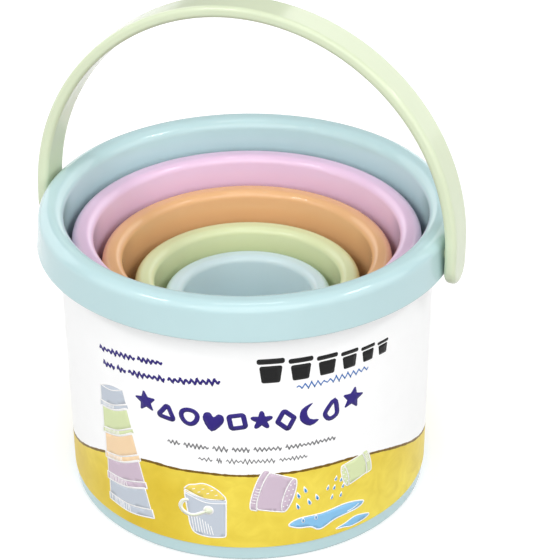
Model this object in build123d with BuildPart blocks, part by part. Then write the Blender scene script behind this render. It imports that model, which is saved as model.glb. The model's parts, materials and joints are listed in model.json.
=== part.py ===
from build123d import *
import os
from dataclasses import dataclass
from math import cos, radians, sin, tan

# Nesting cup tower: a handled bucket with a card sleeve and four smaller cups inside it.
# Millimetres. +Z is up, the origin is on the bucket's axis in the plane it stands on, and the
# handle's pivot axis runs along X.

# Shared moulding dimensions
draft = 0.86  # degrees of taper on every cup's wall
foot_depth = 1.8  # how far each base is dished above the foot ring
foot_corner = 1.0  # rounding where the wall turns into the foot ring
floor_corner = 2.5  # rounding where the inside wall meets the floor
edge_break = 0.5  # small rounding on the band's lower edge
foot_break = 0.3  # small rounding on the foot ring's inner edges
nest_gap = 0.2  # space under a nested cup's foot
recess_clearance = 0.4  # room for the next cup's rim in the dished base

# Drain holes of the sieve cups
hole_radius = 2.0
hole_ring_step = 10.0  # radius added by each ring of holes
holes_per_ring = 6  # added with each ring

# Handle
handle_lean = 3.4  # degrees back from upright
arch_radius = 73.6  # middle of the strap, from the bucket's axis
arch_drop = 5.5  # arch centre below the bucket's rim
pivot_drop = 6.6  # pivot axis below the bucket's rim
end_drop = 10.1  # centre of the strap's rounded end below the rim
strap_width = 13.6
strap_thickness = 4.0
strap_round = 1.5
stud_radius = 2.52
stud_hole_radius = 2.6
stud_head_radius = 3.4
stud_head_thickness = 1.2
stud_head_chamfer = 0.4
stud_head_clearance = 0.4  # between the head and the inside of the band

# Card sleeve
sleeve_thickness = 0.5
sleeve_gap = 0.1  # between the card and the wall
sleeve_bottom = 5.7
sleeve_tuck = 1.0  # how far the card reaches up behind the band


@dataclass
class Cup:
    """One cup of the set, as it stands in the nest."""

    name: str
    rim_radius: float  # outside of the rim, at its top
    rim_top: float  # height of the rim above the ground
    rim_width: float  # from the outside of the rim to the inside wall
    rim_round: float  # rounding along both sides of the rim's top
    band_height: float  # depth of the turned-over band
    band_flare: float  # how much wider the band is at its lower edge
    wall: float
    hole_rings: int = 0  # rings of drain holes round the middle one; 0 for a plain base
    recess_radius: float = 20.0  # of the dished base
    base: float = 0.0  # height of the foot above the ground

    @property
    def taper(self):
        return tan(radians(draft))

    @property
    def floor_bottom(self):
        return self.base + foot_depth

    @property
    def floor_top(self):
        return self.floor_bottom + self.wall

    def inside_radius(self, height):
        """Radius of the inside wall at a height."""
        return self.rim_radius - self.rim_width - (self.rim_top - height) * self.taper

    def outside_radius(self, height):
        """Radius of the outside wall at a height."""
        return self.inside_radius(height) + self.wall

    def band_radius(self, height):
        """Radius of the band's outside at a height."""
        return self.rim_radius + self.band_flare * (self.rim_top - height) / self.band_height


bucket_cup = Cup("bucket", 70.0, 104.4, 8.2, 3.6, 13.2, 1.3, 1.6)
pink_cup = Cup("cup_pink", 59.3, 94.4, 7.2, 2.7, 11.5, 0.6, 1.5, hole_rings=3)
orange_cup = Cup("cup_orange", 49.5, 85.2, 6.8, 2.6, 10.5, 0.6, 1.5)
green_cup = Cup("cup_green", 38.6, 76.1, 6.6, 2.5, 9.5, 0.6, 1.5, hole_rings=2)
small_cup = Cup("cup_small_blue", 28.6, 69.8, 6.2, 2.4, 8.5, 0.5, 1.5)

# Each cup stands on the floor of the one that holds it, and an upturned base seats the next rim
nest = [bucket_cup, pink_cup, orange_cup, green_cup, small_cup]
for holder, held in zip(nest, nest[1:]):
    held.base = holder.floor_top + nest_gap
    holder.recess_radius = held.rim_radius + recess_clearance


def add_shell(cup):
    """Revolve one cup's wall, floor, rim and turned-over band into the current part."""
    under_rim = cup.rim_top - cup.wall
    band_bottom = cup.rim_top - cup.band_height
    inner_round = cup.rim_round - cup.wall
    outline = [
        (0, cup.floor_bottom),
        (cup.recess_radius, cup.floor_bottom),
        (cup.recess_radius, cup.base),
        (cup.outside_radius(cup.base), cup.base),
        (cup.outside_radius(under_rim), under_rim),
        (cup.band_radius(under_rim) - cup.wall, under_rim),
        (cup.band_radius(band_bottom) - cup.wall, band_bottom),
        (cup.band_radius(band_bottom), band_bottom),
        (cup.rim_radius, cup.rim_top),
        (cup.inside_radius(cup.rim_top), cup.rim_top),
        (cup.inside_radius(cup.floor_top), cup.floor_top),
        (0, cup.floor_top),
    ]
    roundings = [
        foot_break,
        foot_break,
        foot_corner,
        inner_round,
        inner_round,
        edge_break,
        edge_break,
        cup.rim_round,
        cup.rim_round,
        floor_corner,
    ]
    with BuildSketch(Plane.XZ) as section:
        with BuildLine():
            profile = FilletPolyline(*outline, radius=roundings)
            Line(profile @ 1, profile @ 0)
        make_face()
    revolve(section.sketch, axis=Axis.Z)


def cut_drain_holes(cup):
    """Cut the sieve: one hole in the middle and rings of holes round it."""
    with BuildSketch(Plane.XY.offset(cup.floor_bottom)) as holes:
        Circle(hole_radius)
        for ring in range(1, cup.hole_rings + 1):
            with PolarLocations(ring * hole_ring_step, ring * holes_per_ring):
                Circle(hole_radius)
    extrude(holes.sketch, amount=cup.wall, mode=Mode.SUBTRACT)


# Pivot of the handle
pivot_height = bucket_cup.rim_top - pivot_drop
arch_rise = pivot_drop - arch_drop
end_fall = end_drop - pivot_drop
lean = radians(handle_lean)
handle_up = Vector(0, sin(lean), cos(lean))
pivot = Vector(0, 0, pivot_height)
handle_plane = Plane(origin=pivot, x_dir=(1, 0, 0), z_dir=Vector(1, 0, 0).cross(handle_up))
band_outside = bucket_cup.band_radius(pivot_height - stud_hole_radius)
band_inside = bucket_cup.band_radius(pivot_height) - bucket_cup.wall
channel_middle = (band_inside + bucket_cup.outside_radius(pivot_height)) / 2


def leg_end(side):
    """Centre of a leg's rounded end: side is 1 at +X and -1 at -X."""
    return pivot + Vector(side * arch_radius, 0, 0) - handle_up * end_fall


# Half outline of a stud along the pivot axis, from its head in the rim's channel to the strap
head_outer = band_inside - stud_head_clearance
head_inner = head_outer - stud_head_thickness
stud_outline = [
    (head_inner, 0),
    (head_inner, stud_head_radius - stud_head_chamfer),
    (head_inner + stud_head_chamfer, stud_head_radius),
    (head_outer, stud_head_radius),
    (head_outer, stud_radius),
    (arch_radius, stud_radius),
    (arch_radius, 0),
]

# Outline of the card sleeve's wall
sleeve_top = bucket_cup.rim_top - bucket_cup.band_height + sleeve_tuck
sleeve_inside_top = bucket_cup.outside_radius(sleeve_top) + sleeve_gap
sleeve_inside_bottom = bucket_cup.outside_radius(sleeve_bottom) + sleeve_gap
sleeve_outline = [
    (sleeve_inside_bottom, sleeve_bottom),
    (sleeve_inside_bottom + sleeve_thickness, sleeve_bottom),
    (sleeve_inside_top + sleeve_thickness, sleeve_top),
    (sleeve_inside_top, sleeve_top),
]

os.makedirs("parts", exist_ok=True)

# Bucket, with a round hole through each side of the band for the handle's studs
with BuildPart() as bucket:
    add_shell(bucket_cup)
    for side in (1, -1):
        hole_start = pivot + Vector(side * channel_middle, 0, 0)
        with BuildSketch(Plane(origin=hole_start, z_dir=(side, 0, 0))):
            Circle(stud_hole_radius)
        extrude(amount=band_outside - channel_middle + edge_break, mode=Mode.SUBTRACT)
bucket.part.label = bucket_cup.name
export_step(bucket.part, f"parts/{bucket_cup.name}.step")

# Nested cups, two of them with a sieve for a base
for cup in nest[1:]:
    with BuildPart() as nested_cup:
        add_shell(cup)
        if cup.hole_rings:
            cut_drain_holes(cup)
    nested_cup.part.label = cup.name
    export_step(nested_cup.part, f"parts/{cup.name}.step")

# Handle: a flat strap bent into an arch, with a round end and a headed stud on each leg
with BuildPart() as handle:
    with BuildLine(handle_plane):
        Line((arch_radius, -end_fall), (arch_radius, arch_rise))
        CenterArc((0, arch_rise), arch_radius, 0, 180)
        Line((-arch_radius, arch_rise), (-arch_radius, -end_fall))
    with BuildSketch(Plane(origin=leg_end(1), x_dir=(1, 0, 0), z_dir=handle_up)):
        RectangleRounded(strap_thickness, strap_width, strap_round)
    sweep()
    for side in (1, -1):
        with BuildSketch(Plane(origin=leg_end(side), x_dir=(1, 0, 0), z_dir=handle_up)):
            RectangleRounded(strap_thickness, strap_width, strap_round)
            Rectangle(strap_thickness, strap_width, align=(Align.CENTER, Align.MAX), mode=Mode.INTERSECT)
        revolve(axis=Axis(leg_end(side), (1, 0, 0)), revolution_arc=180)
        with BuildSketch(Plane(origin=pivot, x_dir=(side, 0, 0), z_dir=(0, -side, 0))):
            with BuildLine():
                Polyline(stud_outline, close=True)
            make_face()
        revolve(axis=Axis(pivot, (1, 0, 0)))
handle.part.label = "handle"
export_step(handle.part, "parts/handle.step")

# Card sleeve round the bucket's wall, tucked up behind the band
with BuildPart() as label_sleeve:
    with BuildSketch(Plane.XZ):
        with BuildLine():
            Polyline(sleeve_outline, close=True)
        make_face()
    revolve(axis=Axis.Z)
label_sleeve.part.label = "label_sleeve"
export_step(label_sleeve.part, "parts/label_sleeve.step")
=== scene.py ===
"""Looks of the nesting cup tower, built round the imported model.

Sizes are millimetres in the model's frame: +Z up, the origin on the bucket's axis at the ground, and
the handle's hinge line along X. Meshes are scaled to metres as they are made.
"""

import json
import math
from dataclasses import dataclass

import bpy
import bmesh
from mathutils import Matrix, Vector, noise
from mathutils.geometry import delaunay_2d_cdt


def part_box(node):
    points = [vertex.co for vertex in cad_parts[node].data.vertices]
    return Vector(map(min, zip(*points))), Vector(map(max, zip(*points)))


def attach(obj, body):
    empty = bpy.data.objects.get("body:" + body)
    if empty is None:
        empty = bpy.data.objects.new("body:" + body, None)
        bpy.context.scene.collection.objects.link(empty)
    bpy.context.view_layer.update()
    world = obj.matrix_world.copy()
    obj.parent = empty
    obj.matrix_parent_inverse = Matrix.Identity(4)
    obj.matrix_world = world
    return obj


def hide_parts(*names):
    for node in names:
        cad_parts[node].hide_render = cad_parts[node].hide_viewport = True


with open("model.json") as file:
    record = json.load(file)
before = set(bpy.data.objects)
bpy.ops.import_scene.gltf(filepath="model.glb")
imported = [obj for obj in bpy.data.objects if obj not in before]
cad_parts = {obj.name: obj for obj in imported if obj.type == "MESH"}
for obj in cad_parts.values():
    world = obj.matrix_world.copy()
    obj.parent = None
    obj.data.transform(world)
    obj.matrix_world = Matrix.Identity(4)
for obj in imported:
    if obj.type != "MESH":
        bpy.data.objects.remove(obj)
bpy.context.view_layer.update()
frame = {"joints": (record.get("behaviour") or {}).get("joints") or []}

MM = 0.001
FRONT = math.radians(21.7)  # the printed front faces this far round from -Y, towards +X
SHARP_ANGLE = math.radians(35)  # edges that turn by more are shaded sharp
SEAM = 1e-7  # metres; points this near are one, so that swept meshes close
WELD = 2e-6  # metres; the same after a cut


# ---------------------------------------------------------------- mesh helpers


def make_object(name, verts, faces, materials, face_materials=None):
    """A smooth-shaded mesh object from points in millimetres."""
    mesh = bpy.data.meshes.new(name)
    mesh.from_pydata([Vector(v) * MM for v in verts], [], faces)
    bm = bmesh.new()
    bm.from_mesh(mesh)
    bmesh.ops.remove_doubles(bm, verts=bm.verts, dist=SEAM)
    bm.to_mesh(mesh)
    bm.free()
    for material in materials:
        mesh.materials.append(material)
    if face_materials:
        mesh.polygons.foreach_set("material_index", face_materials)
    mesh.polygons.foreach_set("use_smooth", [True] * len(mesh.polygons))
    mesh.set_sharp_from_angle(angle=SHARP_ANGLE)
    mesh.update()
    obj = bpy.data.objects.new(name, mesh)
    bpy.context.scene.collection.objects.link(obj)
    return obj


def face_outwards(obj):
    """Turn a closed mesh's faces outwards."""
    bm = bmesh.new()
    bm.from_mesh(obj.data)
    bmesh.ops.recalc_face_normals(bm, faces=bm.faces)
    bm.to_mesh(obj.data)
    bm.free()


def corner_arc(before, corner, after, radius, steps):
    """Points of the arc that rounds one corner of an outline."""
    to_before = (before - corner).normalized()
    to_after = (after - corner).normalized()
    half = to_before.angle(to_after) / 2
    if radius == 0 or half > math.pi / 2 - 1e-4:
        return [corner]
    tangent = radius / math.tan(half)
    centre = corner + (to_before + to_after).normalized() * radius / math.sin(half)
    start = corner + to_before * tangent - centre
    end = corner + to_after * tangent - centre
    sweep = start.angle_signed(end)
    turned = [Matrix.Rotation(-sweep * i / steps, 2) @ start for i in range(steps + 1)]
    return [centre + point for point in turned]


def rounded_outline(points, radii, steps=9, support=0.35, spacing=6.0):
    """An open outline with rounded corners, and extra points that keep its straight runs flat."""
    points = [Vector(p) for p in points]
    outline = [points[0]]
    for i in range(1, len(points) - 1):
        outline += corner_arc(points[i - 1], points[i], points[i + 1], radii[i - 1], steps)
    outline.append(points[-1])
    dense = [outline[0]]
    for a, b in zip(outline, outline[1:]):
        run = (b - a).length
        if run > 3 * support:
            inner = run - 2 * support
            count = max(1, round(inner / spacing))
            dense += [a.lerp(b, (support + inner * i / count) / run) for i in range(count + 1)]
        dense.append(b)
    return dense


def lathe(name, outline, material, segments=224):
    """Revolve an open outline of (radius, height) points whose ends lie on the axis."""
    verts, faces, rows = [], [], []
    for radius, height in outline:
        if radius < 1e-6:
            rows.append([len(verts)] * segments)
            verts.append((0, 0, height))
            continue
        rows.append(list(range(len(verts), len(verts) + segments)))
        for i in range(segments):
            turn = 2 * math.pi * i / segments
            verts.append((radius * math.cos(turn), radius * math.sin(turn), height))
    for low, high in zip(rows, rows[1:]):
        for i in range(segments):
            j = (i + 1) % segments
            ring = [low[i], low[j], high[j], high[i]]
            faces.append([v for k, v in enumerate(ring) if v != ring[k - 1]])
    obj = make_object(name, verts, faces, [material])
    face_outwards(obj)
    return obj


def subtract(obj, cutter):
    """Cut one mesh out of another and remove the cutter."""
    boolean = obj.modifiers.new("cut", "BOOLEAN")
    boolean.operation = "DIFFERENCE"
    boolean.solver = "EXACT"
    boolean.object = cutter
    result = bpy.data.meshes.new_from_object(obj.evaluated_get(bpy.context.evaluated_depsgraph_get()))
    obj.modifiers.clear()
    obj.data = result
    bm = bmesh.new()
    bm.from_mesh(result)
    bmesh.ops.remove_doubles(bm, verts=bm.verts, dist=WELD)
    bmesh.ops.dissolve_degenerate(bm, edges=bm.edges, dist=WELD)
    bmesh.ops.triangulate(bm, faces=[face for face in bm.faces if len(face.verts) > 4])
    bm.to_mesh(result)
    bm.free()
    result.set_sharp_from_angle(angle=SHARP_ANGLE)
    bpy.data.objects.remove(cutter)


# ---------------------------------------------------------------- materials


# Scales of the noises, per metre
FLOW_MARKS = 38.0
POLISH = 70.0
MOULDED_SKIN = 220.0
INK_MOTTLE = 120.0
CARD_FIBRE = 1400.0
WASH_POOLS = 22.0
WASH_BLOOMS = 120.0


def new_material(name):
    material = bpy.data.materials.new(name)
    material.use_nodes = True
    nodes = material.node_tree.nodes
    return material, nodes, material.node_tree.links, nodes["Principled BSDF"]


def add_noise(nodes, links, scale, detail=3.0):
    """A noise texture in object space, at a scale per metre."""
    coords = nodes.new("ShaderNodeTexCoord")
    texture = nodes.new("ShaderNodeTexNoise")
    texture.inputs["Scale"].default_value = scale
    texture.inputs["Detail"].default_value = detail
    links.new(coords.outputs["Object"], texture.inputs["Vector"])
    return texture


def add_range(nodes, links, source, low, high):
    """Map the middle of a noise's values onto low..high."""
    node = nodes.new("ShaderNodeMapRange")
    node.inputs["From Min"].default_value = 0.3
    node.inputs["From Max"].default_value = 0.7
    node.inputs["To Min"].default_value = low
    node.inputs["To Max"].default_value = high
    links.new(source, node.inputs["Value"])
    return node.outputs["Result"]


def add_colour_mix(nodes, links, factor, first, second):
    """Mix two colours by a noise value."""
    mix = nodes.new("ShaderNodeMix")
    mix.data_type = "RGBA"
    mix.inputs["A"].default_value = (*first, 1)
    mix.inputs["B"].default_value = (*second, 1)
    links.new(factor, mix.inputs["Factor"])
    return mix.outputs["Result"]


def shade(colour, amount):
    """A colour made darker or lighter."""
    return tuple(min(1.0, c * amount) for c in colour)


def plastic(name, colour, roughness=0.08):
    """Glossy moulded polypropylene: faint flow marks, a soft glow and a fine skin."""
    material, nodes, links, bsdf = new_material(name)
    cloud = add_noise(nodes, links, FLOW_MARKS)
    factor = add_range(nodes, links, cloud.outputs["Fac"], 0.0, 1.0)
    tint = add_colour_mix(nodes, links, factor, shade(colour, 0.985), shade(colour, 1.015))
    links.new(tint, bsdf.inputs["Base Color"])
    polish = add_noise(nodes, links, POLISH, detail=2.0)
    rough = add_range(nodes, links, polish.outputs["Fac"], roughness - 0.02, roughness + 0.02)
    links.new(rough, bsdf.inputs["Roughness"])
    skin = add_noise(nodes, links, MOULDED_SKIN, detail=1.0)
    bump = nodes.new("ShaderNodeBump")
    bump.inputs["Strength"].default_value = 0.01
    bump.inputs["Distance"].default_value = 0.0002
    links.new(skin.outputs["Fac"], bump.inputs["Height"])
    links.new(bump.outputs["Normal"], bsdf.inputs["Normal"])
    bsdf.inputs["IOR"].default_value = 1.49
    bsdf.inputs["Subsurface Weight"].default_value = 0.12
    bsdf.inputs["Subsurface Radius"].default_value = (1.0, 0.8, 0.7)
    bsdf.inputs["Subsurface Scale"].default_value = 0.003
    return material


def varnish(bsdf):
    """The thin, soft shine of printed card."""
    bsdf.inputs["Specular IOR Level"].default_value = 0.2
    bsdf.inputs["Coat Weight"].default_value = 0.03
    bsdf.inputs["Coat Roughness"].default_value = 0.25


def printed(name, colour, scale=INK_MOTTLE, roughness=0.38):
    """Ink on coated card, a little mottled."""
    material, nodes, links, bsdf = new_material(name)
    mottle = add_noise(nodes, links, scale, detail=6.0)
    factor = add_range(nodes, links, mottle.outputs["Fac"], 0.0, 1.0)
    tint = add_colour_mix(nodes, links, factor, shade(colour, 0.99), shade(colour, 1.01))
    links.new(tint, bsdf.inputs["Base Color"])
    fibre = add_noise(nodes, links, CARD_FIBRE, detail=2.0)
    rough = add_range(nodes, links, fibre.outputs["Fac"], roughness - 0.05, roughness + 0.08)
    links.new(rough, bsdf.inputs["Roughness"])
    varnish(bsdf)
    return material


def watercolour(name, deep, pale):
    """A printed wash: broad pools of colour under finer blooms."""
    material, nodes, links, bsdf = new_material(name)
    pool = add_noise(nodes, links, WASH_POOLS, detail=2.0)
    bloom = add_noise(nodes, links, WASH_BLOOMS, detail=8.0)
    bloom.inputs["Distortion"].default_value = 1.2
    pool_share = add_range(nodes, links, pool.outputs["Fac"], 0.0, 1.0)
    wash = add_colour_mix(nodes, links, pool_share, deep, pale)
    mix = nodes.new("ShaderNodeMix")
    mix.data_type = "RGBA"
    links.new(add_range(nodes, links, bloom.outputs["Fac"], 0.0, 0.35), mix.inputs["Factor"])
    links.new(wash, mix.inputs["A"])
    mix.inputs["B"].default_value = (*shade(deep, 0.85), 1)
    links.new(mix.outputs["Result"], bsdf.inputs["Base Color"])
    bsdf.inputs["Roughness"].default_value = 0.4
    varnish(bsdf)
    return material


def srgb(red, green, blue):
    """Linear colour from 0-255 display values."""
    def linear(value):
        value /= 255
        return value / 12.92 if value <= 0.04045 else ((value + 0.055) / 1.055) ** 2.4
    return tuple(linear(v) for v in (red, green, blue))


blue_plastic = plastic("blue_plastic", srgb(181, 209, 212))
pink_plastic = plastic("pink_plastic", srgb(227, 195, 222))
orange_plastic = plastic("orange_plastic", srgb(226, 177, 128))
green_plastic = plastic("green_plastic", srgb(217, 226, 180))
small_blue_plastic = plastic("small_blue_plastic", srgb(209, 231, 236))
handle_plastic = plastic("handle_plastic", srgb(204, 214, 184), roughness=0.15)
card_white = printed("card_white", srgb(252, 252, 252))
card_sand = watercolour("card_sand", srgb(216, 184, 44), srgb(243, 223, 92))
card_line = printed("card_line", srgb(112, 84, 10))
card_inside = printed("card_inside", srgb(214, 208, 196), scale=300.0, roughness=0.8)

# ---------------------------------------------------------------- cups


@dataclass
class Cup:
    """One cup, with what its box in the frame doesn't say."""

    node: str
    body: str
    slot: str
    material: object
    rim_width: float  # from the outside of the rim to the inside wall
    rim_round: float  # rounding along both sides of the rim's top
    band_height: float  # depth of the turned-over band
    band_flare: float  # how much wider the band is at its lower edge
    wall: float
    hole_rings: int = 0  # rings of drain holes round the middle one


TAPER = math.tan(math.radians(0.86))  # of every cup's wall
FOOT_DEPTH = 1.8  # how far each base is dished above the foot ring
FOOT_CORNER = 1.0  # rounding at the foot's outside
FOOT_BREAK = 0.3  # rounding along the dish's edge
FLOOR_CORNER = 2.5  # rounding where the floor meets the inside wall
EDGE_BREAK = 0.5  # rounding along the band's lower edges
RECESS_CLEARANCE = 0.4  # room for the next cup's rim in the dished base
SMALLEST_RECESS = 20.0  # radius of the dish under the smallest cup
HOLE_RADIUS = 2.0
HOLE_RING_STEP = 10.0
HOLES_PER_RING = 6  # added with each ring

# Largest first; each stands on the floor of the one before.
CUPS = [
    Cup("bucket", "bucket", "bucket_blue", blue_plastic, 8.2, 3.6, 13.2, 1.3, 1.6),
    Cup("cup_pink", "pink_cup", "cup_pink", pink_plastic, 7.2, 2.7, 11.5, 0.6, 1.5, hole_rings=3),
    Cup("cup_orange", "orange_cup", "cup_orange", orange_plastic, 6.8, 2.6, 10.5, 0.6, 1.5),
    Cup("cup_green", "green_cup", "cup_green", green_plastic, 6.6, 2.5, 9.5, 0.6, 1.5, hole_rings=2),
    Cup(
        "cup_small_blue", "small_blue_cup", "cup_small_blue", small_blue_plastic,
        6.2, 2.4, 8.5, 0.5, 1.5,
    ),
]


def box_mm(node):
    """Low and high corners of a piece's box in the frame."""
    low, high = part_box(node)
    return Vector(low) / MM, Vector(high) / MM


def cup_outline(cup, recess_radius):
    """Half section of a cup, from the middle of its underside round to the middle of its floor."""
    low, high = box_mm(cup.node)
    base, top = low.z, high.z
    rim_radius = high.x - cup.band_flare
    under_rim = top - cup.wall
    band_bottom = top - cup.band_height
    floor_bottom = base + FOOT_DEPTH
    floor_top = floor_bottom + cup.wall

    def inner(height):
        return rim_radius - cup.rim_width - (top - height) * TAPER

    def band(height):
        return rim_radius + cup.band_flare * (top - height) / cup.band_height

    points = [
        (0, floor_bottom),
        (recess_radius, floor_bottom),
        (recess_radius, base),
        (inner(base) + cup.wall, base),
        (inner(under_rim) + cup.wall, under_rim),
        (band(under_rim) - cup.wall, under_rim),
        (band(band_bottom) - cup.wall, band_bottom),
        (band(band_bottom), band_bottom),
        (rim_radius, top),
        (inner(top), top),
        (inner(floor_top), floor_top),
        (0, floor_top),
    ]
    inner_round = cup.rim_round - cup.wall
    radii = [
        FOOT_BREAK,
        FOOT_BREAK,
        FOOT_CORNER,
        inner_round,
        inner_round,
        EDGE_BREAK,
        EDGE_BREAK,
        cup.rim_round,
        cup.rim_round,
        FLOOR_CORNER,
    ]
    return rounded_outline(points, radii)


def ring_of_cylinders(name, places, radius, low, high, sides=28):
    """Upright cylinders in one mesh, for cutting holes."""
    verts, faces = [], []
    for x, y in places:
        start = len(verts)
        for height in (low, high):
            for i in range(sides):
                turn = 2 * math.pi * i / sides
                verts.append((x + radius * math.cos(turn), y + radius * math.sin(turn), height))
        for i in range(sides):
            j = (i + 1) % sides
            faces.append((start + i, start + j, start + sides + j, start + sides + i))
        faces.append(tuple(start + i for i in reversed(range(sides))))
        faces.append(tuple(start + sides + i for i in range(sides)))
    return make_object(name, verts, faces, [])


def drain_holes(rings):
    """Centres of a sieve's holes: one in the middle and six more in each ring round it."""
    places = [(0.0, 0.0)]
    for ring in range(1, rings + 1):
        radius = ring * HOLE_RING_STEP
        count = ring * HOLES_PER_RING
        for i in range(count):
            turn = 2 * math.pi * i / count
            places.append((radius * math.cos(turn), radius * math.sin(turn)))
    return places


def build_cups():
    """The five shells, each with its dish, drain holes or stud holes."""
    next_cups = CUPS[1:] + [None]
    for cup, next_cup in zip(CUPS, next_cups):
        recess = SMALLEST_RECESS
        if next_cup:
            recess = box_mm(next_cup.node)[1].x - next_cup.band_flare + RECESS_CLEARANCE
        shell = lathe(f"{cup.node}_shell", cup_outline(cup, recess), cup.material)
        if cup.hole_rings:
            below = box_mm(cup.node)[0].z
            above = below + 2 * FOOT_DEPTH + cup.wall
            places = drain_holes(cup.hole_rings)
            subtract(shell, ring_of_cylinders("holes", places, HOLE_RADIUS, below, above))
        if cup.node == "bucket":
            cut_stud_holes(shell)
        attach(shell, cup.body)
        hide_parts(cup.node)


# ---------------------------------------------------------------- handle

SWING = next(joint for joint in frame["joints"] if joint["name"] == "handle_swing")
PIVOT = Vector([value / MM for value in SWING["pos_m"]])
LEAN = math.radians(3.4)  # back from upright
ARCH_RADIUS = 73.6  # middle of the strap, from the bucket's axis
ARCH_RISE = 1.1  # arch's centre above the pivot
END_FALL = 3.5  # centre of the strap's rounded end below the pivot
ARCH_STEPS = 150
LEG_STEPS = 4
END_STEPS = 28
STRAP_WIDTH = 13.6
STRAP_THICKNESS = 4.0
STRAP_ROUND = 1.5
STUD_RADIUS = 2.52
STUD_HOLE_RADIUS = 2.6
STUD_HOLE_START = 66.2  # in the open channel behind the band, from the bucket's axis
STUD_HOLE_LENGTH = 12.0
HEAD_RADIUS = 3.4
HEAD_THICKNESS = 1.2
HEAD_CHAMFER = 0.4
HEAD_BREAK = 0.15
HEAD_OUTER = 68.65  # outer face of the stud's head, from the bucket's axis

ACROSS = Vector((1, 0, 0))
UP = Vector((0, math.sin(LEAN), math.cos(LEAN)))  # along the leaning arch
AHEAD = ACROSS.cross(UP)  # across the strap


def cut_stud_holes(shell):
    """A round hole through each side of the bucket's band."""
    cutter = ring_of_cylinders("holes", [(0, 0)], STUD_HOLE_RADIUS, 0, STUD_HOLE_LENGTH, sides=48)
    lying = Matrix.Rotation(math.pi / 2, 4, "Y")
    for start in (STUD_HOLE_START, -STUD_HOLE_START - STUD_HOLE_LENGTH):
        copy = bpy.data.objects.new("hole", cutter.data.copy())
        bpy.context.scene.collection.objects.link(copy)
        copy.data.transform(Matrix.Translation(Vector((start, 0, PIVOT.z)) * MM) @ lying)
        subtract(shell, copy)
    bpy.data.objects.remove(cutter)


def half_section():
    """Half of the strap's section, as (outwards, across) points from outer middle to inner."""
    u, v = STRAP_THICKNESS / 2, STRAP_WIDTH / 2
    corners = [(u, 0), (u, v), (-u, v), (-u, 0)]
    return rounded_outline(corners, [STRAP_ROUND, STRAP_ROUND], steps=8, support=0.3, spacing=2.0)


def strap_path():
    """Centres of the strap's sections from the pivot, each with its outward direction."""
    def leg(side, share):
        """A section of a straight leg; share runs from its lower end to the arch."""
        rise = ARCH_RISE - (ARCH_RISE + END_FALL) * (1 - share)
        return ACROSS * side * ARCH_RADIUS + UP * rise, ACROSS * side

    path = [leg(1, i / LEG_STEPS) for i in range(LEG_STEPS + 1)]
    for i in range(1, ARCH_STEPS):
        turn = math.pi * i / ARCH_STEPS
        out = ACROSS * math.cos(turn) + UP * math.sin(turn)
        path.append((UP * ARCH_RISE + out * ARCH_RADIUS, out))
    return path + [leg(-1, 1 - i / LEG_STEPS) for i in range(LEG_STEPS + 1)]


def build_strap():
    """The strap, swept along its arch, with a half-round end on each leg."""
    half = half_section()
    ring = half + [Vector((u, -v)) for u, v in reversed(half[1:-1])]
    count = len(ring)
    path = strap_path()
    verts, faces = [], []
    for centre, out in path:
        verts += [PIVOT + centre + out * u + AHEAD * v for u, v in ring]
    for k in range(len(path) - 1):
        a, b = k * count, (k + 1) * count
        for i in range(count):
            j = (i + 1) % count
            faces.append((a + i, a + j, b + j, b + i))
    for side in (1, -1):
        out = ACROSS * side
        centre = PIVOT + out * ARCH_RADIUS - UP * END_FALL
        start = len(verts)
        for k in range(END_STEPS + 1):
            turn = math.pi * k / END_STEPS
            round_end = AHEAD * math.cos(turn) - UP * math.sin(turn)
            verts += [centre + out * u + round_end * v for u, v in half]
        for k in range(END_STEPS):
            a = start + k * len(half)
            b = a + len(half)
            for i in range(len(half) - 1):
                faces.append((a + i, a + i + 1, b + i + 1, b + i))
    strap = make_object("handle_strap", verts, faces, [handle_plastic])
    face_outwards(strap)
    return strap


def build_stud(name, side):
    """A headed stud, from the strap's middle in through the band."""
    inner = HEAD_OUTER - HEAD_THICKNESS
    profile = [
        (0, inner),
        (HEAD_RADIUS - HEAD_CHAMFER, inner),
        (HEAD_RADIUS, inner + HEAD_CHAMFER),
        (HEAD_RADIUS, HEAD_OUTER),
        (STUD_RADIUS, HEAD_OUTER),
        (STUD_RADIUS, ARCH_RADIUS),
        (0, ARCH_RADIUS),
    ]
    outline = rounded_outline(profile, [HEAD_BREAK] * 4 + [0], steps=4, support=0.1)
    stud = lathe(name, outline, handle_plastic, segments=64)
    lying = Matrix.Rotation(side * math.pi / 2, 4, "Y")
    stud.data.transform(Matrix.Translation(PIVOT * MM) @ lying)
    return stud


def build_handle():
    """The strap and its two studs, which turn together."""
    strap = build_strap()
    for name, side in (("handle_stud_right", 1), ("handle_stud_left", -1)):
        stud = build_stud(name, side)
        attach(stud, "handle")
    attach(strap, "handle")
    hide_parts("handle")


# ---------------------------------------------------------------- card sleeve

SLEEVE_LOW, SLEEVE_HIGH = box_mm("label_sleeve")
SLEEVE_THICKNESS = 0.5
COLUMNS_PER_DEGREE = 2
OVERLAP_FROM, OVERLAP_TO = 174, 183  # degrees round from the front
OVERLAP_THICKNESS = 0.35
LINE_WIDTH = 0.95  # of the pen line along the sand
SAND_TOP = 35.2
SAND_DROP = 17.0
SAND_SHOULDER = 27  # degrees from a hill's middle to where it starts to fall
SAND_ROWS = 3
WHITE_ROWS = 5

CARD_MATERIALS = [card_white, card_sand, card_line, card_inside]
WHITE, SAND, LINE, BARE = range(4)  # places in CARD_MATERIALS


def smoothstep(low, high, value):
    """A smooth rise from 0 at the low value to 1 at the high one."""
    t = min(1.0, max(0.0, (value - low) / (high - low)))
    return t * t * (3 - 2 * t)


def sleeve_radius(height):
    """Outside of the sleeve at a height."""
    return SLEEVE_HIGH.x - (SLEEVE_HIGH.z - height) * TAPER


ARC = math.radians(1) * sleeve_radius(35)  # millimetres of card to a degree, at the sand's top


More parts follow.
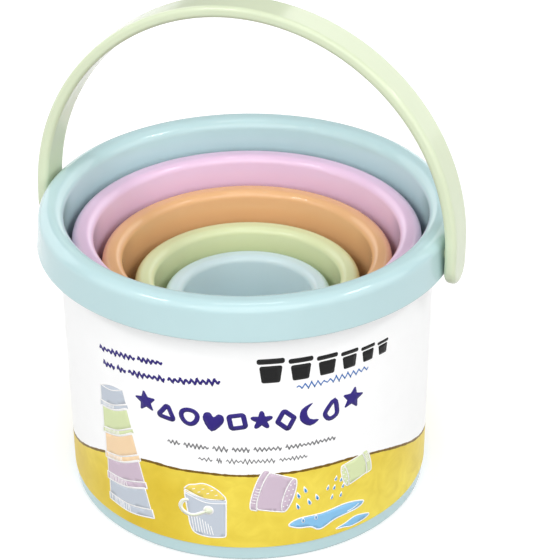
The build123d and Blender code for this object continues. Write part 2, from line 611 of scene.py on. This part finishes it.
def on_sleeve(along, height, lift=0.0):
    """A point of the card, from millimetres along it, right of the front's middle, and a height."""
    turn = FRONT + math.radians(along / ARC)
    radius = sleeve_radius(height) + lift
    return Vector((radius * math.sin(turn), -radius * math.cos(turn), height))


def sand_level(degrees):
    """Top of the printed sand: a low hill on the front and another on the back."""
    off_middle = abs((degrees + 90) % 180 - 90)
    ripple = 0.25 * noise.noise(Vector((degrees * 0.11, 3.1, 0.4)))
    return SAND_TOP - SAND_DROP * smoothstep(SAND_SHOULDER, 90, off_middle) + ripple


def card_strip(name, first, last, inner_lift, outer_lift):
    """Part of the card between two angles, printed outside, bare inside; a full turn is closed."""
    closed = last - first >= 360
    columns = COLUMNS_PER_DEGREE * (last - first)
    verts, faces, slots = [], [], []
    for i in range(columns + (not closed)):
        degrees = first + (last - first) * i / columns
        along = degrees * ARC
        level = sand_level(degrees)
        pen = LINE_WIDTH * (1 + 0.5 * noise.noise(Vector((degrees * 0.9, 7.7, 0.2))))
        low, high = level - pen / 2, level + pen / 2
        sand_share = [k / SAND_ROWS for k in range(SAND_ROWS + 1)]
        white_share = [k / WHITE_ROWS for k in range(WHITE_ROWS + 1)]
        heights = [SLEEVE_LOW.z + (low - SLEEVE_LOW.z) * share for share in sand_share]
        heights += [high + (SLEEVE_HIGH.z - high) * share for share in white_share]
        verts += [on_sleeve(along, height, outer_lift) for height in heights]
        verts += [on_sleeve(along, height, inner_lift) for height in (SLEEVE_HIGH.z, SLEEVE_LOW.z)]
    kinds = [SAND] * SAND_ROWS + [LINE] + [WHITE] * WHITE_ROWS + [BARE] * 3
    rows = len(kinds)
    for i in range(columns):
        a, b = i * rows, (i + 1) * rows % len(verts)
        for k in range(rows):
            m = (k + 1) % rows
            faces.append((a + k, b + k, b + m, a + m))
            slots.append(kinds[k])
    if not closed:
        faces += [tuple(range(rows)), tuple(len(verts) - 1 - k for k in range(rows))]
        slots += [BARE, BARE]
    strip = make_object(name, verts, faces, CARD_MATERIALS, slots)
    face_outwards(strip)
    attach(strip, "bucket")
    return strip


def build_sleeve():
    """The card ring, and its glued overlap at the back."""
    ring = card_strip("card_sleeve", -180, 180, -SLEEVE_THICKNESS, 0.0)
    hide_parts("label_sleeve")
    card_strip("card_overlap", OVERLAP_FROM, OVERLAP_TO, 0.0, OVERLAP_THICKNESS)


# ---------------------------------------------------------------- ink on the card

# Drawings are in millimetres: x along the card from the front's middle, y the height.

INK_DEPTH = 0.12  # mostly sunk in the card
LAYER_STEP = 0.02  # how much higher each layer of ink lies
FOLLOW = 1.5  # longest step of a flat shape, so that it follows the card round
CURVE_STEP = 0.7
CAP_STEPS = 6  # of a pen line's round end
ONLY_INSIDE = 1  # makes the triangulation keep only what its outline holds
SAME_POINT = 1e-5


def spaced(line, closed):
    """Add points to a line so that no step is longer than FOLLOW."""
    line = [Vector(p) for p in line]
    ends = line[1:] + line[:1] if closed else line[1:]
    result = []
    for a, b in zip(line, ends):
        count = max(1, math.ceil((b - a).length / FOLLOW))
        result += [a.lerp(b, i / count) for i in range(count)]
    return result if closed else result + [line[-1]]


def curve(points, closed=False):
    """A smooth line through a few points."""
    points = [Vector(p) for p in points]
    if closed:
        ring = [points[-1]] + points + points[:2]
    else:
        ring = [2 * points[0] - points[1]] + points + [2 * points[-1] - points[-2]]
    line = []
    for a, b, c, d in zip(ring, ring[1:], ring[2:], ring[3:]):
        count = max(3, round((c - b).length / CURVE_STEP))
        square, cube = 2 * a - 5 * b + 4 * c - d, 3 * b - a - 3 * c + d
        for i in range(count):
            t = i / count
            line.append((2 * b + (c - a) * t + square * t**2 + cube * t**3) / 2)
    return line if closed else line + [points[-1]]


def rounded_loop(points, radius, steps=4):
    """A closed outline with its corners rounded."""
    points = [Vector(p) for p in points]
    line = []
    for i, point in enumerate(points):
        line += corner_arc(points[i - 1], point, points[(i + 1) % len(points)], radius, steps)
    return line


def polar(radius, count, start=0.0):
    """Points round a centre, at a radius that may depend on the share of the way round."""
    points = []
    for i in range(count):
        share = i / count
        r = radius(share) if callable(radius) else radius
        turn = 2 * math.pi * (share + start)
        points.append((r * math.cos(turn), r * math.sin(turn)))
    return points


def placed(points, centre, angle=0.0, size=1.0):
    """Turn, scale and move the points of a small drawing."""
    turn = Matrix.Rotation(math.radians(angle), 2)
    return [Vector(centre) + turn @ Vector(p) * size for p in points]


def inside(point, outline):
    """Whether a point lies inside a closed outline."""
    crossings = 0
    for a, b in zip(outline, outline[1:] + outline[:1]):
        if (a.y > point.y) != (b.y > point.y):
            crossings += point.x < a.x + (point.y - a.y) * (b.x - a.x) / (b.y - a.y)
    return crossings % 2 == 1


class Ink:
    """Flat shapes of one colour, drawn in card millimetres and then wrapped onto the sleeve."""

    def __init__(self, name, colour, layer=1):
        self.name = name
        self.material = printed(name, colour)
        self.lift = LAYER_STEP + LAYER_STEP * layer
        self.verts, self.faces = [], []

    def add(self, points, faces):
        start = len(self.verts)
        self.verts += [(p.x, p.y) for p in points]
        self.faces += [tuple(start + i for i in face) for face in faces]

    def fill(self, outline):
        """The inside of a closed outline, with a grid of points that lets it bend."""
        outline = spaced(outline, closed=True)
        xs, ys = [p.x for p in outline], [p.y for p in outline]
        columns = int((max(xs) - min(xs)) / FOLLOW)
        rows = int((max(ys) - min(ys)) / FOLLOW)
        grid = [
            Vector((min(xs) + FOLLOW * (i + 0.5), min(ys) + FOLLOW * (j + 0.5)))
            for i in range(columns)
            for j in range(rows)
        ]
        clear = [
            p for p in grid
            if inside(p, outline) and min((p - q).length for q in outline) > FOLLOW / 3
        ]
        border = [range(len(outline))]
        points, _, faces, *_ = delaunay_2d_cdt(
            outline + clear, [], border, ONLY_INSIDE, SAME_POINT
        )
        self.add(points, faces)

    def stroke(self, path, width, closed=False):
        """A pen line along a path, with round ends."""
        path = spaced(path, closed)
        count = len(path)
        points = []
        for i, point in enumerate(path):
            before = path[i - 1] if closed or i else path[0]
            after = path[(i + 1) % count] if closed or i < count - 1 else path[-1]
            way = (after - before).normalized()
            aside = Vector((-way.y, way.x)) * (width / 2)
            points += [point + aside, point - aside]
        faces = [(2 * i, 2 * i + 1, 2 * i + 3, 2 * i + 2) for i in range(count - 1)]
        last = 2 * count - 2
        if closed:
            faces.append((last, last + 1, 1, 0))
        else:
            turns = [Matrix.Rotation(math.pi * k / CAP_STEPS, 2) for k in range(1, CAP_STEPS)]
            for middle, first, second in ((path[0], 0, 1), (path[-1], last + 1, last)):
                spoke = points[first] - middle
                cap = [middle + turn @ spoke for turn in turns]
                faces.append([first, *range(len(points), len(points) + len(cap)), second])
                points += cap
        self.add(points, faces)

    def outlined(self, outline, pen, width):
        """A filled shape with a pen line round it."""
        self.fill(outline)
        pen.stroke(outline, width, closed=True)

    def wrap(self):
        """Lay the shapes on the sleeve as one thin piece."""
        verts = [on_sleeve(along, height, self.lift) for along, height in self.verts]
        piece = make_object(f"print_{self.name}", verts, self.faces, [self.material])
        depth = piece.modifiers.new("depth", "SOLIDIFY")
        depth.thickness = INK_DEPTH * MM
        depth.offset = -1
        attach(piece, "bucket")


purple = Ink("purple", srgb(44, 30, 118))
black = Ink("black", srgb(8, 8, 9))
script_blue = Ink("script_blue", srgb(58, 112, 184))
grey = Ink("grey", srgb(128, 128, 130))
mist = Ink("mist", srgb(191, 199, 210))
leaf = Ink("leaf", srgb(214, 225, 176))
apricot = Ink("apricot", srgb(243, 212, 172))
mauve = Ink("mauve", srgb(203, 184, 200))
water = Ink("water", srgb(134, 190, 229))
heap = Ink("heap", srgb(232, 209, 98))
pen_white = Ink("pen_white", srgb(252, 251, 250), layer=2)
cream = Ink("cream", srgb(232, 238, 214), layer=3)
rain = Ink("rain", srgb(62, 146, 206), layer=3)

INKS = (
    purple, black, script_blue, grey, mist, leaf, apricot, mauve, water, heap,
    pen_white, cream, rain,
)


# ---------------------------------------------------------------- drawings

WAVE_STEPS = 8
WORD_GAP = 1.6
DOODLE_SPACING = 7.9
DOODLE_PEN = 1.7


def squiggle(ink, start, end, height, pitch, width):
    """A wavy pen line where the real card has a word."""
    start, end = Vector(start), Vector(end)
    along = (end - start).normalized()
    across = Vector((-along.y, along.x))
    count = max(2, round((end - start).length / pitch)) * WAVE_STEPS
    path = []
    for i in range(count + 1):
        at = start.lerp(end, i / count)
        turn = 2 * math.pi * i / WAVE_STEPS
        swing = math.sin(turn) * height / 2
        swing *= 1 + 0.9 * noise.noise(Vector((at.x * 0.45, at.y, 5.2)))
        lag = 0.12 * pitch * math.sin(2 * turn)
        path.append(at + across * swing + along * lag)
    ink.stroke(path, width)


def squiggle_row(ink, start, end, words, height, pitch, width):
    """A row of squiggles of the given relative lengths, with gaps between them."""
    start, end = Vector(start), Vector(end)
    length = (end - start).length
    unit = (length - WORD_GAP * (len(words) - 1)) / sum(words)
    along = (end - start) / length
    at = 0.0
    for word in words:
        stop = at + word * unit
        squiggle(ink, start + along * at, start + along * stop, height, pitch, width)
        at += word * unit + WORD_GAP


def draw_words():
    """Wavy lines in place of the card's words."""
    squiggle_row(purple, (-55, 72.0), (-28.8, 75.6), [8, 4.5], 2.0, 1.9, 0.82)
    squiggle_row(purple, (-53.5, 66.6), (-9.5, 71.8), [3, 2, 8, 10], 2.0, 1.9, 0.82)
    squiggle_row(grey, (-27.6, 45.6), (29, 45.6), [3, 6, 3.5, 4, 6.5, 12.5], 1.7, 1.4, 0.48)
    squiggle_row(grey, (-17, 40.9), (19, 40.9), [3.4, 1.2, 12, 7], 1.7, 1.4, 0.36)
    squiggle(script_blue, (15.5, 68.6), (41.5, 68.6), 2.0, 2.2, 0.42)


def draw_cup_row():
    """Six upright cups, each smaller than the last."""
    foot, gap = 71.3, 1.2
    rim = [(-0.5, 0.78), (0.5, 0.78), (0.5, 1.0), (-0.5, 1.0)]
    body = [(-0.33, 0), (0.33, 0), (0.42, 0.7), (-0.42, 0.7)]
    left = 2.5
    for width in (9.0, 8.2, 7.4, 6.6, 5.8, 5.0):
        height = 1.02 * width
        middle = left + width / 2
        for shape in (rim, body):
            corners = [Vector((middle + x * width, foot + y * height)) for x, y in shape]
            black.fill(rounded_loop(corners, 0.09 * width))
        left += width + gap


def draw_doodles():
    """A row of ten hand-drawn toy shapes across the front."""
    triangle = rounded_loop([(-1, -0.85), (1, -0.85), (0, 0.95)], 0.2)
    square = rounded_loop([(-0.82, -0.82), (0.82, -0.82), (0.82, 0.82), (-0.82, 0.82)], 0.25)
    diamond = rounded_loop([(0, -1.15), (0.85, 0), (0, 1.15), (-0.85, 0)], 0.15)
    ring = polar(lambda share: 0.88 + 0.04 * math.sin(6 * math.pi * share), 28)
    star_tips = polar(lambda share: 0.56 if round(share * 10) % 2 else 1.2, 10, start=0.25)
    star = rounded_loop(star_tips, 0.1)
    flower = polar(lambda share: 0.82 + 0.26 * math.cos(10 * math.pi * share), 50, start=0.05)
    heart = curve([
        (0, -1.1), (0.92, 0.0), (0.86, 0.75), (0.38, 0.9), (0, 0.5), (-0.38, 0.9),
        (-0.86, 0.75), (-0.92, 0),
    ], closed=True)
    moon = curve([
        (0.45, 1.1), (-0.6, 0.75), (-0.85, -0.3), (-0.1, -1.1), (0.75, -0.75), (0.0, -0.4),
        (-0.15, 0.45),
    ], closed=True)
    bead = curve([
        (0, 1.15), (0.55, 0.1), (0.62, -0.55), (0, -1.0), (-0.62, -0.55), (-0.55, 0.1),
    ], closed=True)
    row = [  # shape, how it is drawn, size, height on the card, angle
        (star, "fill", 3.8, 58.9, 8),
        (triangle, "loop", 2.9, 57.2, -8),
        (ring, "loop", 3.1, 57.0, 0),
        (heart, "fill", 3.6, 56.2, -8),
        (square, "loop", 2.9, 56.6, 10),
        (flower, "fill", 3.5, 57.0, 0),
        (diamond, "loop", 3.3, 56.4, 10),
        (moon, "fill", 3.9, 57.0, 8),
        (bead, "loop", 3.3, 56.9, -14),
        (star, "fill", 3.9, 59.0, -12),
    ]
    middle = (len(row) - 1) / 2
    for i, (shape, kind, size, height, angle) in enumerate(row):
        points = placed(shape, ((i - middle) * DOODLE_SPACING, height), angle, size)
        if kind == "fill":
            purple.fill(points)
        else:
            purple.stroke(points, DOODLE_PEN, closed=True)


def draw_tower():
    """Five upturned cups in a leaning stack, with a ribbed band round each rim."""
    cups = [  # heights at the tower's left and right: of the cup's top, its band and its bottom
        (mist, (57.0, 59.6), (50.7, 54.6), (48.7, 53.0)),
        (leaf, (48.7, 53.0), (40.2, 45.9), (38.2, 44.0)),
        (apricot, (38.2, 44.0), (30.2, 36.0), (28.0, 33.8)),
        (mauve, (28.0, 33.8), (22.4, 25.6), (19.5, 23.3)),
        (mist, (19.5, 23.3), (13.8, 15.1), (11.2, 11.8)),
    ]
    tower_top = cups[0][1]

    def level(heights, overhang, sag):
        """A sagging line across the tower, which narrows upwards, most on its right."""
        low, high = heights
        left = Vector((-54.3 - 0.05 * (low - 11) - overhang, low))
        right = Vector((-34.9 - 0.205 * (high - 11.8) + overhang, high))
        return curve([left, left.lerp(right, 0.5) - Vector((0, sag)), right])

    for ink, top, band, bottom in cups:
        sag = -0.9 if top == tower_top else 1.0
        body = level(top, -0.4, sag) + level(band, 0.0, 1.0)[::-1]
        rim = level(band, 0.5, 1.05) + level(bottom, 0.6, 1.2)[::-1]
        ink.outlined(body, pen_white, 0.4)
        ink.outlined(rim, pen_white, 0.5)
        upper, lower = level(band, 0.5, 1.0), level(bottom, 0.6, 1.2)
        for k in range(2, 13):  # ribs on the band's left half
            share = k / 24
            a, b = (line[round(share * (len(line) - 1))] for line in (upper, lower))
            pen_white.stroke([a.lerp(b, 0.15), a.lerp(b, 0.85)], 0.28)
    pen_white.stroke(level(tower_top, -0.4, 1.1), 0.4)


def draw_bucket():
    """A bucket heaped with sand, its handle hanging in front."""
    body = [(-22.4, 28.0)] + curve([(-22.0, 26.6), (-15.3, 24.9), (-8.1, 25.0)])
    body += curve([
        (-8.4, 10.6), (-9.3, 9.7), (-14.5, 9.3), (-19.0, 10.3), (-20.6, 13.0), (-21.4, 18.0),
        (-22.3, 25.0),
    ])
    dome = curve([
        (-22.4, 28.0), (-20.8, 29.6), (-18.6, 30.2), (-16.0, 31.0), (-13.4, 30.4),
        (-10.6, 28.6), (-8.4, 26.2),
    ])
    rim = curve([(-8.1, 25.0), (-15.3, 24.9), (-22.4, 27.6)])
    heap.outlined(dome + rim, pen_white, 0.42)
    mist.outlined(body, pen_white, 0.45)
    pen_white.stroke(curve([(-22.1, 26.0), (-15.2, 23.4), (-8.2, 23.6)]), 0.35)
    for k in range(8):
        left = -20.2 + 0.95 * k
        top = 17.0 - 0.34 * max(0, k - 2) ** 1.4
        pen_white.stroke([(left, top), (left + 0.75, 11.2 - 0.12 * k)], 0.28)
    grains = (
        (-19.4, 28.2), (-17.6, 27.2), (-16.2, 28.6), (-14.6, 27.0), (-13.2, 28.4), (-11.8, 26.6),
    )
    for x, y in grains:
        pen_white.stroke([(x, y), (x + 0.7, y + 0.3)], 0.3)
    loop = curve([
        (-21.7, 23.4), (-23.3, 22.4), (-24.0, 20.2), (-22.6, 18.2), (-19.4, 17.5), (-14.4, 20.0),
    ])
    pen_white.stroke(loop, 1.5)
    cream.stroke(loop, 0.75)
    boss = (-14.2, 20.3)
    pen_white.fill(placed(polar(1.85, 20), boss))
    cream.fill(placed(polar(1.35, 20), boss))


def draw_tipped_cup(ink, rim_middle, angle, length, rim_width, base_width, holes):
    """A sieve cup tipped over, its base towards the drops."""
    band, bulge, dish = 0.2 * length, 0.09 * rim_width, 0.13 * base_width

    def ellipse(at, width, depth, turns):
        return [(at + depth * math.cos(turn), width / 2 * math.sin(turn)) for turn in turns]

    def put(points):
        return placed(points, rim_middle, angle)

    half_round = [math.pi * (i / 12 - 0.5) for i in range(13)]
    full_round = [math.tau * i / 28 for i in range(28)]
    rim = ellipse(0, rim_width, -bulge, half_round)[::-1]
    rim += ellipse(band, rim_width * 0.98, -bulge, half_round)
    body = ellipse(band, rim_width * 0.92, -bulge, half_round)[::-1]
    body += ellipse(length, base_width, -dish, half_round)
    base = ellipse(length, base_width, dish, full_round)
    for shape in (rim, body, base):
        ink.outlined(put(shape), pen_white, 0.42)
    for k in range(holes):
        across = base_width * (0.32 - 0.64 * k / (holes - 1))
        for side in (-0.35, 0.35):
            spot = put([(length + side * dish, across + side)])[0]
            pen_white.fill(placed(polar(0.27, 8), spot))
    rib_from, rib_to = band * 0.15 - 0.7 * bulge, band * 0.75 - 0.7 * bulge
    for k in range(6):
        across = rim_width * (0.02 - 0.07 * k)
        pen_white.stroke(put([(rib_from, across), (rib_to, across)]), 0.25)


def draw_drop(centre, size, angle):
    """A falling drop with a pale edge; its tail points back along the angle."""
    drop = curve([
        (0, 1.5), (0.5, 0.15), (0.42, -0.6), (0, -0.85), (-0.42, -0.6), (-0.5, 0.15),
    ], closed=True)
    pen_white.fill(placed(drop, centre, angle, size * 1.3))
    rain.fill(placed(drop, centre, angle, size * 0.78))


def draw_water():
    """Drops under both sieve cups, and two puddles."""
    draw_tipped_cup(mauve, (2.6, 29.3), -17, 10.8, 16.6, 13.6, holes=5)
    draw_tipped_cup(leaf, (42.9, 31.2), 194, 10.0, 9.6, 9.2, holes=4)
    for place in ((16.2, 25.2), (18.6, 27.0), (20.0, 21.8), (22.8, 23.0), (16.0, 20.8)):
        draw_drop(place, 1.0, 18)
    right_drops = (
        (29.6, 28.6), (31.6, 27.6), (26.6, 25.8), (29.0, 25.2), (32.4, 24.8), (28.2, 21.6),
        (31.6, 21.4),
    )
    for place in right_drops:
        draw_drop(place, 0.75, -14)
    puddle = curve([
        (12.8, 13.9), (16.5, 16.0), (25.0, 16.3), (33.5, 17.2), (40.0, 15.9), (41.2, 14.7),
        (38.5, 13.3), (30.0, 12.3), (24.0, 9.8), (20.5, 11.6), (16.0, 12.2),
    ], closed=True)
    small_puddle = curve([
        (30.0, 7.9), (33.6, 9.0), (38.0, 10.3), (43.8, 8.8), (42.4, 7.5), (36.4, 6.8), (33.5, 7.4),
    ], closed=True)
    water.outlined(puddle, pen_white, 0.5)
    water.outlined(small_puddle, pen_white, 0.4)
    for place in ((17.8, 14.8), (22.4, 15.0)):
        draw_drop(place, 0.8, 5)
    pen_white.stroke(curve([(34.5, 13.6), (37.0, 14.0), (39.0, 14.9)]), 0.35)


def print_card():
    """All the drawings, one piece for each ink."""
    draw_words()
    draw_cup_row()
    draw_doodles()
    draw_tower()
    draw_bucket()
    draw_water()
    for ink in INKS:
        ink.wrap()


build_cups()
build_handle()
build_sleeve()
print_card()

# ---------------------------------------------------------------- camera, floor and light

CAMERA_DISTANCE = 667.0
CAMERA_HEIGHT = 455.6
CAMERA_PITCH = math.radians(29.83)
CAMERA_YAW = math.radians(-0.96)
CAMERA_ROLL = math.radians(-0.30)
CAMERA_LENS = 143.5
CAMERA_SENSOR = 36.0

FLOOR_HALF = 12000  # far enough to reach the horizon of every view
FLOOR_GLOW = 0.2
WORLD_STRENGTH = 0.3
LIGHT_AIM = Vector((0, 0, 60))
LIGHT_DISTANCE = 900
SKY_SPREAD = math.radians(60)


def place_camera():
    """A long lens, in front of the object and looking down at it."""
    camera = bpy.data.objects.new("camera", bpy.data.cameras.new("camera"))
    bpy.context.scene.collection.objects.link(camera)
    camera.data.sensor_width = CAMERA_SENSOR
    camera.data.lens = CAMERA_LENS
    camera.data.clip_start = 0.01
    turn = Matrix.Rotation(FRONT + CAMERA_YAW, 4, "Z")
    tilt = Matrix.Rotation(math.pi / 2 - CAMERA_PITCH, 4, "X")
    roll = Matrix.Rotation(CAMERA_ROLL, 4, "Z")
    across, back = CAMERA_DISTANCE * math.sin(FRONT), -CAMERA_DISTANCE * math.cos(FRONT)
    place = Vector((across, back, CAMERA_HEIGHT))
    camera.matrix_world = Matrix.Translation(place * MM) @ turn @ tilt @ roll
    bpy.context.scene.camera = camera


def towards(azimuth, elevation):
    """The direction to a light, in degrees round from the front and degrees up."""
    turn = FRONT + math.radians(azimuth)
    rise = math.radians(elevation)
    flat = math.cos(rise)
    return Vector((math.sin(turn) * flat, -math.cos(turn) * flat, math.sin(rise)))


def facing(away):
    """The rotation of a light that shines back along a direction."""
    return away.to_track_quat("Z", "Y").to_matrix().to_4x4()


def area_light(name, azimuth, elevation, size, radiance):
    """A soft rectangular light aimed at the object."""
    data = bpy.data.lights.new(name, "AREA")
    data.shape = "RECTANGLE"
    data.size, data.size_y = (side * MM for side in size)
    data.energy = radiance * math.pi * data.size * data.size_y
    light = bpy.data.objects.new(name, data)
    away = towards(azimuth, elevation)
    place = LIGHT_AIM + away * LIGHT_DISTANCE
    light.matrix_world = Matrix.Translation(place * MM) @ facing(away)
    bpy.context.scene.collection.objects.link(light)


def soft_sun(name, azimuth, elevation, strength):
    """Even light from a wide patch of sky."""
    data = bpy.data.lights.new(name, "SUN")
    data.angle = SKY_SPREAD
    data.energy = strength
    light = bpy.data.objects.new(name, data)
    light.matrix_world = facing(towards(azimuth, elevation))
    bpy.context.scene.collection.objects.link(light)


def build_studio():
    """A plain floor, a white sky and soft lights."""
    material, *_, bsdf = new_material("floor")
    bsdf.inputs["Base Color"].default_value = (0.9, 0.9, 0.9, 1)
    bsdf.inputs["Roughness"].default_value = 0.9
    bsdf.inputs["Emission Color"].default_value = (1, 1, 1, 1)
    bsdf.inputs["Emission Strength"].default_value = FLOOR_GLOW
    corners = [(x * FLOOR_HALF, y * FLOOR_HALF, 0) for x, y in ((-1, -1), (1, -1), (1, 1), (-1, 1))]
    floor = make_object("floor", corners, [(0, 1, 2, 3)], [material])
    floor.visible_diffuse = False  # no bounce from below, so the cups' insides stay light
    world = bpy.data.worlds.new("studio")
    world.use_nodes = True
    background = world.node_tree.nodes["Background"]
    background.inputs["Color"].default_value = (1, 1, 1, 1)
    background.inputs["Strength"].default_value = WORLD_STRENGTH
    bpy.context.scene.world = world
    area_light("overhead", 0, 84, (300, 50), radiance=15.0)
    area_light("left_window", -57, 45, (200, 50), radiance=26.0)
    area_light("right_window", 68, 45, (200, 50), radiance=26.0)
    soft_sun("front_fill", 0, 27, strength=1.8)
    soft_sun("left_fill", -62, 25, strength=0.95)
    soft_sun("right_fill", 62, 25, strength=0.95)
    soft_sun("back_left_fill", -140, 13, strength=1.1)
    soft_sun("back_right_fill", 140, 13, strength=1.1)
    bpy.context.scene.view_settings.view_transform = "Standard"


place_camera()
build_studio()
